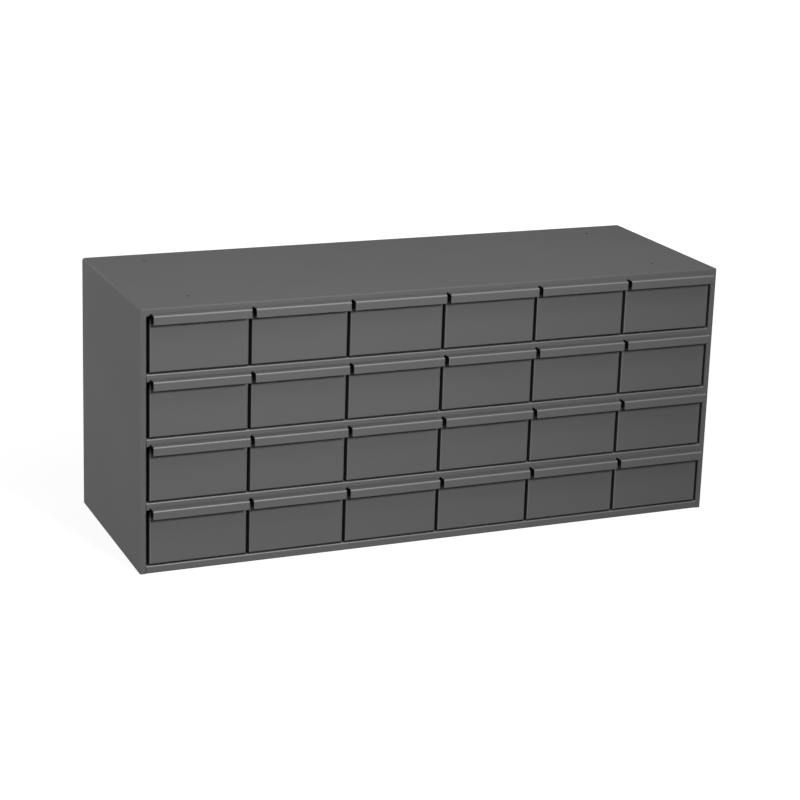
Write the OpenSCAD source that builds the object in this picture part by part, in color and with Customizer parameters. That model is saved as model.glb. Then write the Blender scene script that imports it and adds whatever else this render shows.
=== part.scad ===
// Small-parts cabinet: a sheet-steel case with rows of pull-out drawers, each with a full-width hook pull.
// Millimetres. X runs across the front, Y to the back and Z up. The origin is the middle of the footprint,
// pulls included, on the floor. Inside the modules Y starts at the front face of the case's flanges.

/* [Case] */
// Width over the side sheets
case_w = 857.25; // [780:0.25:960]
// Height from the floor to the top sheet
case_h = 365.1; // [340:0.1:420]
// Depth from the front flanges to the back, without the pulls
case_d = 295.3; // [240:0.1:360]
// Thickness of the case's sheet
case_t = 0.9; // [0.7:0.1:1.3]
// Outside radius of the two long top corners
top_corner_r = 4; // [2:0.5:6]
// Outside radius of the bends along the front of the case and the shelves
front_edge_r = 2.5; // [1.6:0.1:4]
// Outside radius of the rolled edges round the openings
inner_edge_r = 1.5; // [1.4:0.1:2.5]
// Width of the side flanges
flange_w = 8.6; // [7:0.1:12]
// Depth of the returns behind the side flanges
flange_return = 6; // [4:0.5:10]
// Height of the rails under and over the openings
rail_h = 11.1; // [9:0.1:16]
// Depth of the return along a rail's lower edge
rail_return = 19; // [14:0.5:26]
// Depth of the skirts along the sides and the back of a shelf
skirt_h = 9; // [6:0.5:12]
// Depth of the feet that the bottom pan's skirts stand on
foot_return = 15; // [12:0.5:22]

/* [Holes for bolting units together] */
// Diameter of the holes
hole_d = 5.6; // [4:0.1:8]
// Spacing of the holes across the cabinet
hole_spacing_x = 698.5; // [600:0.5:740]
// Spacing of the holes from front to back
hole_spacing_y = 203.2; // [150:0.1:220]
// Distance of the front holes behind the flanges
hole_setback = 50.8; // [30:0.1:60]

/* [Layout] */
// Number of drawers in a row
cols = 6; // [3:1:6]
// Number of rows
rows = 4; // [3:1:4]
// Thickness of the partitions between the drawers
partition_t = 0.9; // [0.7:0.1:1.3]

/* [Drawers] */
// Thickness of the drawers' sheet
drawer_t = 0.9; // [0.7:0.1:1.1]
// Gap beside each drawer's face
face_gap = 3.9; // [3:0.1:6]
// How far a closed face stands in front of the flanges
face_proud = 1.3; // [1.2:0.1:3]
// Outside radius of the bends round a face, and along the bottom of a tray
face_edge_r = 1.8; // [1.5:0.1:2.5]
// Depth of the returns behind a face
face_return = 10; // [6:0.5:16]
// Gap between the returns behind a face and the rail above
return_gap = 2.5; // [1.5:0.1:4]
// How far a tray's front edge lies behind the flanges
tray_setback = 1; // [1:0.1:2]
// Gap between a tray's sides and the rail above
side_gap = 7.4; // [4:0.1:14]
// Gap behind a closed tray
back_gap = 10; // [6:0.1:20]
// Height of the folded edges along a tray's sides
side_hem_h = 6; // [4:0.5:9]

/* [Pulls] */
// How far a pull stands out from the flanges
pull_out = 15.9; // [12:0.1:22]
// How far a pull reaches up in front of the rail
pull_overlap = 4.6; // [3:0.1:6]
// Outside radius of the bend along the top of a pull
pull_edge_r = 2.5; // [1.8:0.1:4]
// Height of a pull's lip
lip_h = 13; // [10:0.1:18]
// Height of the folded edge behind the lip
lip_hem_h = 4; // [3:0.5:6]

/* [Stops] */
// Width of the stop tab on a tray's back
stop_w = 32; // [20:1:60]
// How far a stop tab reaches above the rail's lower edge
stop_catch = 4.6; // [3:0.1:7]
// Radius of a stop tab's corners
stop_corner_r = 3; // [1:0.5:6]

/* [Hidden] */
fit_gap = 0.3;                                  // between pieces that are fitted past each other
hem_w = 2.8;                                    // over the two layers of a folded edge
hem_r = 1.3;                                    // outside radius of a folded edge
past = 1;                                       // how far a cut runs past what it cuts
$fn = 48;
steel = "#696969";

front_y = (pull_out - case_d) / 2;              // the flanges' front face, with the origin in the middle
row_pitch = (case_h - rail_h) / rows;
opening_h = row_pitch - rail_h;                 // from a row's floor to the rail above it
opening_x = case_w / 2 - flange_w;              // half the width between the side flanges
inside_x = case_w / 2 - case_t;                 // half the width between the side sheets
inside_y = case_d - case_t;                     // the front of the back panel
face_w = (2 * opening_x - (cols + 1) * face_gap) / cols;
col_pitch = face_w + face_gap;
face_top = opening_h - return_gap;              // the top of the returns behind a face
crest_z = opening_h + pull_overlap;             // the top of a pull
tray_x = face_w / 2 - drawer_t;                 // half the width over a tray
tray_back = inside_y - back_gap;
side_h = opening_h - side_gap;

// The height of a row's floor, counting the rows from the top
function row_floor(r) = rail_h + (rows - r) * row_pitch;
// The middle of a column, counting the columns from the left
function col_x(c) = (c - (cols + 1) / 2) * col_pitch;
function unit(v) = v / norm(v);
// How much of each straight run a bend takes up, for the radius along the middle of the sheet
function bend_trim(path, i, mid_r) =
    mid_r * tan(acos(unit(path[i] - path[i - 1]) * unit(path[i + 1] - path[i])) / 2);

// ---- folded sheet ----

// The outline of a folded sheet, from the path of its middle and the outside radius of each bend
module folded_sheet(path, t, bend_r) {
    last = len(path) - 1;
    trims = [for (i = [0 : last]) i == 0 || i == last ? 0 : bend_trim(path, i, bend_r[i - 1] - t / 2)];
    for (i = [0 : last - 1])
        straight_run(path[i], path[i + 1], trims[i], trims[i + 1], t);
    for (i = [1 : last - 1])
        bend(path[i - 1], path[i], path[i + 1], trims[i], bend_r[i - 1], t);
}

module straight_run(from, to, trim_from, trim_to, t) {
    along = unit(to - from);
    side = [-along.y, along.x] * t / 2;
    start = from + along * trim_from;
    end = to - along * trim_to;
    polygon([start + side, end + side, end - side, start - side]);
}

module bend(before, corner, after, trim, r, t) {
    into = unit(corner - before);
    out = unit(after - corner);
    start = corner - into * trim;
    end = corner + out * trim;
    centre = start + sign(cross(into, out)) * [-into.y, into.x] * (r - t / 2);
    intersection() {
        translate(centre) difference() {
            circle(r);
            circle(r - t);
        }
        polygon([centre, 2 * start - centre, 2 * corner - centre, 2 * end - centre]);
    }
}

// A rectangle with its two far corners rounded
module rounded_pair(w, h, r) {
    translate([-w / 2, 0]) square([w, h - r]);
    translate([r - w / 2, 0]) square([w - 2 * r, h]);
    for (s = [-1, 1])
        translate([s * (w / 2 - r), h - r]) circle(r);
}

// A rectangle with one rounded corner, at its origin
module rounded_corner(w, h, r) {
    translate([r, 0]) square([w - r, h]);
    translate([0, r]) square([w, h - r]);
    translate([r, r]) circle(r);
}

// What a rounded edge takes off a square one, with the edge at the origin
module edge_round(r) {
    difference() {
        translate([-past, -past]) square(r + past);
        translate([r, r]) circle(r);
    }
}

// Outlines drawn as seen from the front, the side or above become solids
module across(w) rotate([90, 0, 90]) linear_extrude(w, center = true) children();
module backwards(from, to) translate([0, to, 0]) rotate([90, 0, 0]) linear_extrude(to - from) children();
module upwards(from, to) translate([0, 0, from]) linear_extrude(to - from) children();

module both_sides() {
    children();
    mirror([1, 0, 0]) children();
}

module at_front() translate([0, front_y, 0]) children();

// ---- case ----

// The case as a solid block, drawn in on every side by inset
module case_block(inset) {
    w = case_w - 2 * inset;
    h = case_h - inset;
    edge_r = front_edge_r - inset;
    intersection() {
        backwards(inset, case_d + inset)
            translate([0, -inset]) rounded_pair(w, h + inset, top_corner_r - inset);
        upwards(-inset, h)
            translate([0, case_d + inset]) mirror([0, 1]) rounded_pair(w, case_d, edge_r);
        across(w)
            translate([inset, h]) mirror([0, 1]) rounded_corner(case_d, h + inset, edge_r);
    }
}

module bolt_holes(z) {
    for (sx = [-1, 1], y = [hole_setback, hole_setback + hole_spacing_y])
        translate([sx * hole_spacing_x / 2, y, z - case_t - past])
            cylinder(d = hole_d, h = case_t + 2 * past);
}

module front_returns() {
    rail_z = case_h - rail_h;
    both_sides()
        upwards(0, rail_z + case_t)
            translate([opening_x, 0]) square([case_t, flange_return]);
    backwards(0, rail_return)
        translate([-opening_x, rail_z]) square([2 * opening_x, case_t]);
}

module front_edge_rounds() {
    rail_z = case_h - rail_h;
    both_sides()
        upwards(-past, rail_z)
            translate([opening_x, 0]) edge_round(inner_edge_r);
    across(2 * opening_x)
        translate([0, rail_z]) edge_round(inner_edge_r);
}

module shell_wrap() color(steel) at_front() difference() {
    union() {
        difference() {
            case_block(0);
            case_block(case_t);
            backwards(-past, case_t + past)
                translate([-opening_x, -past]) square([2 * opening_x, case_h - rail_h + past]);
        }
        front_returns();
    }
    front_edge_rounds();
    bolt_holes(case_h);
}

// The edge of a shelf outside the openings, cut away behind the side flanges
module shelf_wing(path, bend_r) {
    both_sides()
        backwards(flange_return + fit_gap, inside_y)
            folded_sheet(path, case_t, bend_r);
}

module bottom_pan() color(steel) at_front() difference() {
    mid = case_t / 2;
    union() {
        across(2 * opening_x) folded_sheet([
            [inside_y - foot_return, mid], [inside_y - mid, mid], [inside_y - mid, rail_h - mid],
            [mid, rail_h - mid], [mid, mid], [foot_return, mid]
        ], case_t, [inner_edge_r, inner_edge_r, front_edge_r, inner_edge_r]);
        shelf_wing([
            [inside_x - foot_return, mid], [inside_x - mid, mid], [inside_x - mid, rail_h - mid],
            [opening_x - front_edge_r, rail_h - mid]
        ], [inner_edge_r, inner_edge_r]);
    }
    bolt_holes(rail_h);
}

module back_panel() color(steel) at_front()
    backwards(inside_y, case_d)
        rounded_pair(2 * (inside_x - fit_gap), case_h - case_t - fit_gap, top_corner_r - case_t);

module shelf(k) color(steel) at_front() translate([0, 0, rail_h + k * row_pitch]) {
    mid = case_t / 2;
    across(2 * opening_x) folded_sheet([
        [inside_y - mid, -skirt_h], [inside_y - mid, -mid],
        [mid, -mid], [mid, mid - rail_h], [rail_return, mid - rail_h]
    ], case_t, [inner_edge_r, front_edge_r, inner_edge_r]);
    shelf_wing([
        [inside_x - mid, -skirt_h], [inside_x - mid, -mid], [opening_x - front_edge_r, -mid]
    ], [inner_edge_r]);
}

module partitions(r) color(steel) at_front()
    for (c = [1 : cols - 1])
        backwards(rail_return + fit_gap, inside_y - case_t - fit_gap)
            translate([col_x(c + 0.5) - partition_t / 2, row_floor(r)])
                square([partition_t, row_pitch - case_t]);

// ---- drawers ----

// Puts a drawer's piece, drawn on its row's floor in the middle of its column, in its place
module in_bay(r, c) at_front() translate([col_x(c), 0, row_floor(r)]) children();

module tray(r, c) color(steel) in_bay(r, c) {
    mid = drawer_t / 2;
    wall = tray_x - mid;
    fold = wall - hem_w + drawer_t;
    difference() {
        backwards(tray_setback, tray_back - drawer_t) folded_sheet([
            [fold, side_h - side_hem_h], [fold, side_h - mid], [wall, side_h - mid], [wall, mid],
            [-wall, mid], [-wall, side_h - mid], [-fold, side_h - mid], [-fold, side_h - side_hem_h]
        ], drawer_t, [hem_r, hem_r, face_edge_r, face_edge_r, hem_r, hem_r]);
        backwards(tray_back - face_edge_r, tray_back)
            translate([-tray_x - past, -past]) square([2 * (tray_x + past), face_edge_r + past]);
    }
    across(2 * (tray_x - face_edge_r)) folded_sheet([
        [tray_back - face_edge_r - past, mid], [tray_back - mid, mid], [tray_back - mid, 2 * face_edge_r]
    ], drawer_t, [face_edge_r]);
    backwards(tray_back - drawer_t, tray_back) {
        translate([-tray_x, face_edge_r]) square([2 * tray_x, side_h - face_edge_r]);
        rounded_pair(stop_w, opening_h + stop_catch, stop_corner_r);
    }
}

// A face and its returns as a solid block, drawn in on every side by inset
module face_block(inset) {
    w = face_w - 2 * inset;
    r = face_edge_r - inset;
    front = inset - face_proud;
    bottom = drawer_t + inset;
    depth = face_return + face_proud;
    intersection() {
        upwards(bottom, face_top + inset)
            translate([0, front + depth]) mirror([0, 1]) rounded_pair(w, depth, r);
        across(w)
            translate([front, bottom]) rounded_corner(depth, face_top - drawer_t, r);
    }
}

// Room for the sides of the tray, which stand beside the return along the bottom of the face
module tray_notches() {
    both_sides()
        backwards(tray_setback - fit_gap, face_return + past)
            translate([tray_x - face_edge_r - fit_gap, 0]) square([face_edge_r + fit_gap, 2 * face_edge_r]);
}

module front(r, c) color(steel) in_bay(r, c) {
    mid = drawer_t / 2;
    neck_y = mid - face_proud;
    lip_y = mid - pull_out;
    lip_z = crest_z - lip_h + mid;
    fold_y = lip_y + hem_w - drawer_t;
    difference() {
        face_block(0);
        face_block(drawer_t);
        tray_notches();
    }
    across(face_w) folded_sheet([
        [neck_y, face_top - face_edge_r], [neck_y, crest_z - mid], [lip_y, crest_z - mid],
        [lip_y, lip_z], [fold_y, lip_z], [fold_y, lip_z + lip_hem_h]
    ], drawer_t, [face_edge_r, pull_edge_r, hem_r, hem_r]);
}

// ---- assembly ----

shell_wrap();
bottom_pan();
back_panel();
for (k = [1 : rows - 1])
    shelf(k);
for (r = [1 : rows])
    partitions(r);
for (r = [1 : rows], c = [1 : cols]) {
    tray(r, c);
    front(r, c);
}
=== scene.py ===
"""Small-parts cabinet: the enamel finish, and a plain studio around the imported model."""

import math
from collections import namedtuple

import bmesh
import bpy
from mathutils import Matrix, Vector


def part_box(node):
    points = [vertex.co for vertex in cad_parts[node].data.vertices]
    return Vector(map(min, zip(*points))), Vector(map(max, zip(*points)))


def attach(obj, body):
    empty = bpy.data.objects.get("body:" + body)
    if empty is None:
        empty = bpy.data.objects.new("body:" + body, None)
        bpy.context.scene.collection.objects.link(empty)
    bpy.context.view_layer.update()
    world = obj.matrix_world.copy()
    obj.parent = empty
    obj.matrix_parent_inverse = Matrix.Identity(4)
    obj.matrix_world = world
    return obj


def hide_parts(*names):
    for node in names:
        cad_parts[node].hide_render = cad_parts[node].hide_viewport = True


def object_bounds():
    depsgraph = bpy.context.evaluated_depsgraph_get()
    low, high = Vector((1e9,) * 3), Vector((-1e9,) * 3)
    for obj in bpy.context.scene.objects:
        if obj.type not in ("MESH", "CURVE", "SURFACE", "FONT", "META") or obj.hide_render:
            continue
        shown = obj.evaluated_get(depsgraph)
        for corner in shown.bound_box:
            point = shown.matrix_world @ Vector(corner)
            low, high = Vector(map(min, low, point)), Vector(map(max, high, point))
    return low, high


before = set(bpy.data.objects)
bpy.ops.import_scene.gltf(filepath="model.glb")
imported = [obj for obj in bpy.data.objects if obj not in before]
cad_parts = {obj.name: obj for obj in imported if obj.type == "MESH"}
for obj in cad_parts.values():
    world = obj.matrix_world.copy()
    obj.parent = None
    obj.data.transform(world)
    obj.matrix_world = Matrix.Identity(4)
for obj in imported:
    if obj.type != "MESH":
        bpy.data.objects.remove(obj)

CAD_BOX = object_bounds()
LOW, HIGH = CAD_BOX
CENTRE = (LOW + HIGH) / 2
WHITE = (1, 1, 1, 1)

# ---- camera ----

CAMERA_AT = Vector((-1.158, -2.691, 1.064))
CAMERA_YAW = math.radians(23.19)       # turned from +Y towards +X
CAMERA_PITCH = math.radians(14.93)     # looking down
CAMERA_ROLL = math.radians(1.87)
FOCAL_PIXELS = 2119
IMAGE_PIXELS = 800
SENSOR_MM = 36
FRAME_SHIFT = -0.1                     # the picture is taken below the optical axis


def make_camera():
    yaw, pitch, roll = CAMERA_YAW, CAMERA_PITCH, CAMERA_ROLL
    forward = Vector((
        math.sin(yaw) * math.cos(pitch), math.cos(yaw) * math.cos(pitch), -math.sin(pitch)))
    level = Vector((math.cos(yaw), -math.sin(yaw), 0))
    right = math.cos(roll) * level + math.sin(roll) * level.cross(forward)
    up = right.cross(forward)
    turn = Matrix((right, up, -forward)).transposed()
    data = bpy.data.cameras.new("camera")
    data.sensor_width = SENSOR_MM
    data.lens = FOCAL_PIXELS / IMAGE_PIXELS * SENSOR_MM
    data.shift_y = FRAME_SHIFT
    camera = bpy.data.objects.new("camera", data)
    camera.matrix_world = Matrix.Translation(CAMERA_AT) @ turn.to_4x4()
    bpy.context.scene.collection.objects.link(camera)
    bpy.context.scene.camera = camera


# ---- nodes ----

MIX_FACTOR, MIX_A, MIX_B = 0, 2, 3     # the number sockets of a Mix node


class Nodes:
    """Short calls for the nodes of one material or world."""

    def __init__(self, owner):
        owner.use_nodes = True
        self.tree = owner.node_tree
        self.tree.nodes.clear()

    def add(self, kind, sockets=None, **settings):
        """A node with its sockets set to values or linked to other nodes' outputs."""
        node = self.tree.nodes.new(kind)
        for key, value in settings.items():
            setattr(node, key, value)
        for key, value in (sockets or {}).items():
            if isinstance(value, bpy.types.NodeSocket):
                self.tree.links.new(value, node.inputs[key])
            else:
                node.inputs[key].default_value = value
        return node

    def maths(self, operation, a, b):
        return self.add("ShaderNodeMath", {0: a, 1: b}, operation=operation).outputs["Value"]

    def largest(self, a, b, c):
        return self.maths("MAXIMUM", self.maths("MAXIMUM", a, b), c)

    def parts(self, vector):
        return self.add("ShaderNodeSeparateXYZ", {0: vector}).outputs

    def spread(self, value, source, result):
        """The value, moved from one range to another and held inside it."""
        return self.add("ShaderNodeMapRange", {
            "Value": value, "From Min": source[0], "From Max": source[1],
            "To Min": result[0], "To Max": result[1]}).outputs["Result"]

    def seen_directly(self):
        """1 where the camera, the gloss or a see-through part looks, 0 where light only falls."""
        path = self.add("ShaderNodeLightPath").outputs
        return self.largest(
            path["Is Camera Ray"], path["Is Glossy Ray"], path["Is Transmission Ray"])


# ---- enamel ----

# The parts of a point's place, of its normal, and of how far the normal leans along each axis
Surface = namedtuple("Surface", "place facing sides")

ENAMEL = (0.100, 0.100, 0.1005)
FLAT_ROUGHNESS, FLAT_SPECULAR = 0.62, 0.05
RUBBED_ROUGHNESS = 0.36
# Bends facing away from the way below: dull, and painted shade as their tone
DULL_ROUGHNESS, DULL_SPECULAR, SHADED_BEND_TONE = 0.9, 0, 0.3
WORN_WITH_HIGHLIGHT = (0.6, 1.18)                     # specular, and tone with a painted highlight, of the glossy bends that hands rub
UNWORN = (0.05, 1.0)                   # and of those that they don't, whose tone has no painted highlight
LEFT_BEND_HIGHLIGHT = 0.3                        # how much paler the upright bends on the left are painted, a painted highlight
GLOSS_AND_LIGHT_WAY = (-0.5, -0.1, 0.85)        # up and a little to the left: bends facing this way are glossier and get a painted highlight
GLOSS_AND_LIGHT_LEAN = (-0.1, 0.4)              # along that way, from dull with painted shade to glossy with a painted highlight
LEFT_LEAN = (-0.3, -0.6)               # of a normal's X, from other bends to those on the left
UPRIGHT_LEAN = (0.1, 0.3)              # of a normal's Z, from upright bends to level ones
BEND_LEAN = (0.995, 0.85)              # along the nearest axis, from flat sheet to a bend

PEEL_NOISE = {"Scale": 520.0, "Detail": 2.0, "Roughness": 0.45}
PEEL_BUMP = {"Strength": 0.12, "Distance": 0.0004}
CLOUD_NOISE = {"Scale": 9.0, "Detail": 4.0, "Roughness": 0.55}
CLOUD_RANGE = (0.3, 0.7)
TONE_DRIFT = (0.985, 1.015)
ROUGHNESS_DRIFT = 0.03

# Painted shade: the tone of the pulls' cut ends, of the faces behind the lips and of the trays'
# front cut edges
PAINTED_SHADE_TONE = 0.1
CUT_LEAN = (0.95, 0.99)                # along an axis, from other sheet to a cut edge
UP_LEAN = (0, 0.3)                     # of a normal's Z, from sheet that gets painted shade to sheet that does not
ROW_FLOOR, ROW_PITCH = 0.0111, 0.0885  # of the lowest row, and from row to row
OUTER_END_LIGHTER_SHADE = 0.5                   # the ends at the case's left side, with no pull beside them, get only half the painted shade
# Where the painted shade begins or ends, and over what distance
FACE_Y, FACE_BLUR = -0.1411, 0.0002    # in front of the faces
LIP_BACK_Y, LIP_BLUR = -0.1528, 0.0003            # behind the pulls' lips
SHADE_LOW, SHADE_BLUR = 0.0678, 0.0005            # above a row's floor, behind its lips
OUTER_END_X, OUTER_END_BLUR = -0.4135, 0.001      # inside the ends at the case's left side
TRAY_EDGE_Y, TRAY_EDGE_BLUR = -0.1384, 0.0002     # behind the cut edges of the trays' fronts


def pull_painted_shade(n, surface):
    """The tone of painted shade on a pull's cut ends and on the face behind its lip, and 1
    elsewhere.
    """
    place = surface.place
    height = n.maths("MODULO", n.maths("SUBTRACT", place["Z"], ROW_FLOOR), ROW_PITCH)
    unshaded_end = n.largest(
        n.spread(surface.sides["X"], CUT_LEAN, (1, 0)),
        n.spread(place["Y"], (FACE_Y - FACE_BLUR, FACE_Y), (0, 1)),
        n.spread(place["X"], (OUTER_END_X - OUTER_END_BLUR, OUTER_END_X), (OUTER_END_LIGHTER_SHADE, 0)))
    unshaded_hollow = n.largest(
        n.spread(height, (SHADE_LOW, SHADE_LOW + SHADE_BLUR), (1, 0)),
        n.spread(place["Y"], (LIP_BACK_Y - LIP_BLUR, LIP_BACK_Y), (1, 0)),
        n.spread(surface.facing["Z"], UP_LEAN, (0, 1)))
    return n.spread(n.maths("MINIMUM", unshaded_end, unshaded_hollow), (0, 1), (PAINTED_SHADE_TONE, 1))


def tray_edge_painted_shade(n, surface):
    """The tone of painted shade on the cut edges along a tray's front, under the face, and 1
    elsewhere.
    """
    unshaded_edge = n.maths(
        "MAXIMUM",
        n.spread(surface.place["Y"], (TRAY_EDGE_Y - TRAY_EDGE_BLUR, TRAY_EDGE_Y), (0, 1)),
        n.spread(surface.sides["Y"], CUT_LEAN, (1, 0)))
    return n.spread(unshaded_edge, (0, 1), (PAINTED_SHADE_TONE, 1))


def enamel_material(name, wear_and_highlight, painted_shade=None):
    """Baked enamel on steel: a faint orange peel, and a tone and a roughness that wander.

    Bends that face up are rubbed glossy and get a painted highlight in their tone, and those that
    face the other way are dull and get painted shade in their tone. The second argument is the
    specular and the painted-highlight tone of the glossy bends.
    """
    material = bpy.data.materials.new(name)
    n = Nodes(material)
    rubbed_specular, bend_highlight_tone = wear_and_highlight
    coordinates = n.add("ShaderNodeTexCoord").outputs
    place, facing = coordinates["Object"], coordinates["Normal"]
    peel = n.add("ShaderNodeTexNoise", {"Vector": place, **PEEL_NOISE}).outputs["Fac"]
    bump = n.add("ShaderNodeBump", {"Height": peel, **PEEL_BUMP}).outputs["Normal"]
    cloud = n.add("ShaderNodeTexNoise", {"Vector": place, **CLOUD_NOISE}).outputs["Fac"]

    # All the flat sheet lies along the axes, so a normal off the axes means a bend.
    leans = n.add("ShaderNodeVectorMath", {0: facing}, operation="ABSOLUTE").outputs["Vector"]
    surface = Surface(n.parts(place), n.parts(facing), n.parts(leans))
    sides = surface.sides
    bend = n.spread(n.largest(sides["X"], sides["Y"], sides["Z"]), BEND_LEAN, (0, 1))
    way = n.add("ShaderNodeVectorMath", {0: facing, 1: GLOSS_AND_LIGHT_WAY}, operation="DOT_PRODUCT")
    gloss_and_painted_light = n.spread(way.outputs["Value"], GLOSS_AND_LIGHT_LEAN, (0, 1))

    def on_bends(flat, away_value, toward_value):
        bent = n.spread(gloss_and_painted_light, (0, 1), (away_value, toward_value))
        return n.add("ShaderNodeMix", {MIX_FACTOR: bend, MIX_A: flat, MIX_B: bent}).outputs[0]

    # The bends' tone is painted light: a painted highlight on those facing up and on upright ones
    # on the left, painted shade on those facing away
    to_left = n.maths(
        "MULTIPLY",
        n.spread(surface.facing["X"], LEFT_LEAN, (0, 1)),
        n.spread(sides["Z"], UPRIGHT_LEAN, (1, 0)))
    highlight_tone = n.spread(to_left, (0, 1), (bend_highlight_tone, bend_highlight_tone + LEFT_BEND_HIGHLIGHT))
    tone = on_bends(n.spread(cloud, CLOUD_RANGE, TONE_DRIFT), SHADED_BEND_TONE, highlight_tone)
    # Fronts and trays multiply their tone by painted shade in hollows and on cut edges
    if painted_shade:
        tone = n.maths("MULTIPLY", tone, painted_shade(n, surface))
    flat_roughness = n.spread(
        cloud, CLOUD_RANGE, (FLAT_ROUGHNESS - ROUGHNESS_DRIFT, FLAT_ROUGHNESS + ROUGHNESS_DRIFT))
    colour = n.add("ShaderNodeVectorMath", {0: ENAMEL, "Scale": tone}, operation="SCALE")
    shader = n.add("ShaderNodeBsdfPrincipled", {
        "Base Color": colour.outputs["Vector"],
        "Roughness": on_bends(flat_roughness, DULL_ROUGHNESS, RUBBED_ROUGHNESS),
        "Specular IOR Level": on_bends(FLAT_SPECULAR, DULL_SPECULAR, rubbed_specular),
        "Normal": bump})
    n.add("ShaderNodeOutputMaterial", {"Surface": shader.outputs["BSDF"]})
    return material


# ---- drawers' fronts ----

FRONT = "drawer_front_"
FACE_INSET = 0.00015                   # what each side of a face gives to the gap beside it
PULL_INSET = 0.00115                   # how far a pull's ends stand in from the sides of its front
FACE_RISE = 0.0011                     # how far a face's lower edge stands above that of the CAD
FACE_HEIGHT = 0.0740                   # of the returns behind a face
FACE_EDGE_R = 0.0018                   # of the bends round a face
SIDE_DEPTH = 2 * FACE_EDGE_R           # from a side of the front, well past the bend along it
LOWER_BEND = FACE_EDGE_R * 1.01        # from the lower edge, just past the bend along it
STEP = 0.00002                         # of height, where the pull stands in from the face


def fitted_front(name, node):
    """A drawer's front with the real one's running gaps round its face and beside its pull."""
    low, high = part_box(name)
    middle, half = (low.x + high.x) / 2, (high.x - low.x) / 2
    pull_from = low.z + FACE_HEIGHT
    form = bmesh.new()
    form.from_mesh(node.data)
    for z in (pull_from, pull_from + STEP):
        bmesh.ops.bisect_plane(
            form, geom=form.verts[:] + form.edges[:] + form.faces[:],
            plane_co=(0, 0, z), plane_no=(0, 0, 1))
    for vertex in form.verts:
        place = vertex.co
        is_pull = place.z > pull_from + STEP / 2 or place.y < FACE_Y
        if abs(place.x - middle) > half - SIDE_DEPTH:
            place.x -= math.copysign(PULL_INSET if is_pull else FACE_INSET, place.x - middle)
        if place.z < low.z + LOWER_BEND:
            place.z += FACE_RISE
    mesh = bpy.data.meshes.new(name.replace(FRONT, "front_"))
    form.to_mesh(mesh)
    form.free()
    piece = bpy.data.objects.new(mesh.name, mesh)
    bpy.context.scene.collection.objects.link(piece)
    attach(piece, name.replace(FRONT, "drawer_"))
    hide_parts(name)
    return piece


def dress():
    """Hands rub the pulls, the trays and the rails to gloss, and hardly the case. Bends facing up
    get a painted highlight except on the case, bends facing away get painted shade, and the fronts
    and trays also get painted shade on their cut edges and behind the lips.
    """
    case = enamel_material("case_enamel", UNWORN)
    inner = enamel_material("inner_enamel", WORN_WITH_HIGHLIGHT)
    tray = enamel_material("tray_enamel", WORN_WITH_HIGHLIGHT, painted_shade=tray_edge_painted_shade)
    front = enamel_material("front_enamel", WORN_WITH_HIGHLIGHT, painted_shade=pull_painted_shade)
    for name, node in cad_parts.items():
        node.data.materials.clear()
        is_tray = name.startswith("drawer_tray")
        node.data.materials.append(case if name == "shell_wrap" else tray if is_tray else inner)
        if name.startswith(FRONT):
            fitted_front(name, node).data.materials.append(front)


# ---- studio ----

FLOOR_HALF = 12.0
FLOOR_COLOUR = (0.2, 0.2, 0.2, 1)
NEAR_LIFT, FAR_LIFT = 0.88, 1.0        # how white the camera sees the floor, by the object and far
LIFT_FROM, LIFT_TO = 0.7, 2.2          # how far from the object the one passes into the other
WORLD_LIGHT = 0.32

# Each lamp's name, place, target, width and height, watts, and spread in degrees: a key in front,
# a little right of the camera, that falls off to the right, and softboxes on three sides
LAMPS = (
    ("key", (0.25, -2.2, 1.22), (-0.45, 0, 0.2), (0.5, 0.4), 10.7, 80),
    ("high", (0.3, -0.9, 2.0), CENTRE, (1.6, 0.8), 12.8, 180),
    ("side", (-2.2, 0.3, 0.75), (0, 0, 0.12), (1.6, 1.4), 12.0, 120),
    ("back", (1.2, 2.4, 0.2), (0, 0, 0.2), (1.8, 0.3), 11.0, 120),
)


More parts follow.
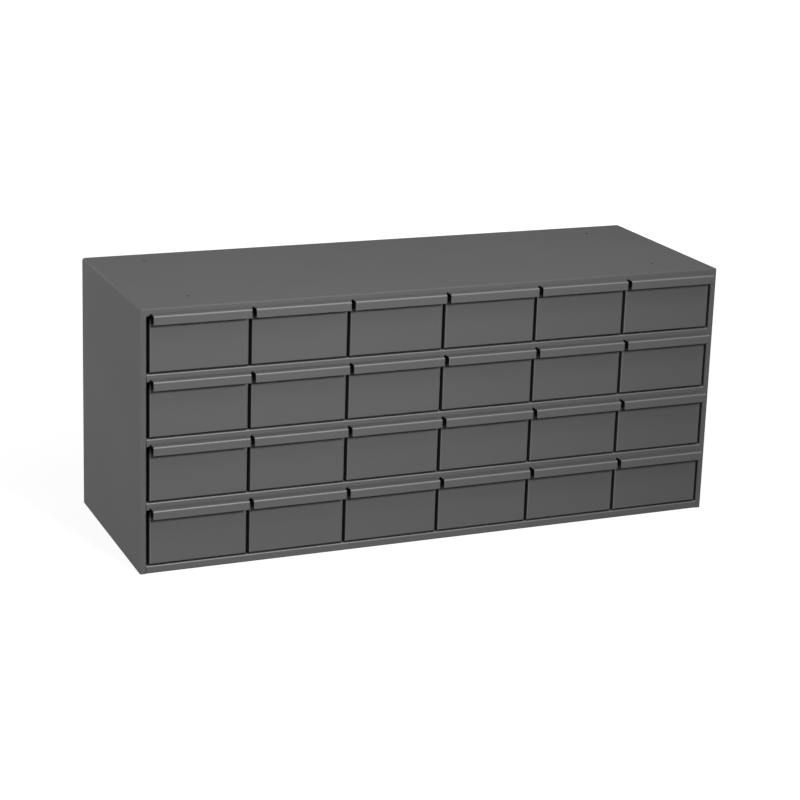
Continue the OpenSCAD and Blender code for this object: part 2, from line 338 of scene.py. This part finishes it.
def floor_material():
    """Matt, and white to the camera and the gloss, with the object's shadow on it."""
    material = bpy.data.materials.new("floor")
    n = Nodes(material)
    place = n.add("ShaderNodeTexCoord").outputs["Object"]
    reach = n.add("ShaderNodeVectorMath", {0: place}, operation="LENGTH").outputs["Value"]
    lift = n.spread(reach, (LIFT_FROM, LIFT_TO), (NEAR_LIFT, FAR_LIFT))
    lift = n.maths("MULTIPLY", n.seen_directly(), lift)
    paint = n.add("ShaderNodeBsdfDiffuse", {"Color": FLOOR_COLOUR}).outputs["BSDF"]
    glow = n.add("ShaderNodeEmission", {"Strength": lift}).outputs["Emission"]
    both = n.add("ShaderNodeAddShader", {0: paint, 1: glow}).outputs["Shader"]
    n.add("ShaderNodeOutputMaterial", {"Surface": both})
    return material


def make_floor():
    mesh = bpy.data.meshes.new("floor")
    half = FLOOR_HALF
    corners = [(-half, -half, 0), (half, -half, 0), (half, half, 0), (-half, half, 0)]
    mesh.from_pydata(corners, [], [(0, 1, 2, 3)])
    floor = bpy.data.objects.new("floor", mesh)
    floor.location.z = LOW.z
    bpy.context.scene.collection.objects.link(floor)
    mesh.materials.append(floor_material())


def make_world():
    """An even surround, white to the camera and the gloss."""
    world = bpy.data.worlds.new("world")
    n = Nodes(world)
    surround = n.add("ShaderNodeBackground", {"Strength": WORLD_LIGHT}).outputs["Background"]
    white = n.add("ShaderNodeBackground", {"Color": WHITE}).outputs["Background"]
    choose = n.add("ShaderNodeMixShader", {"Fac": n.seen_directly(), 1: surround, 2: white})
    n.add("ShaderNodeOutputWorld", {"Surface": choose.outputs["Shader"]})
    bpy.context.scene.world = world


def softbox(name, at, target, size, power, spread):
    data = bpy.data.lights.new(name, "AREA")
    data.shape = "RECTANGLE"
    data.size, data.size_y = size
    data.energy = power
    data.spread = math.radians(spread)
    lamp = bpy.data.objects.new(name, data)
    lamp.location = at
    lamp.rotation_mode = "QUATERNION"
    lamp.rotation_quaternion = (Vector(target) - Vector(at)).to_track_quat("-Z", "Y")
    bpy.context.scene.collection.objects.link(lamp)


dress()
make_floor()
make_world()
for lamp in LAMPS:
    softbox(*lamp)
make_camera()

bpy.context.scene.view_settings.view_transform = "Standard"
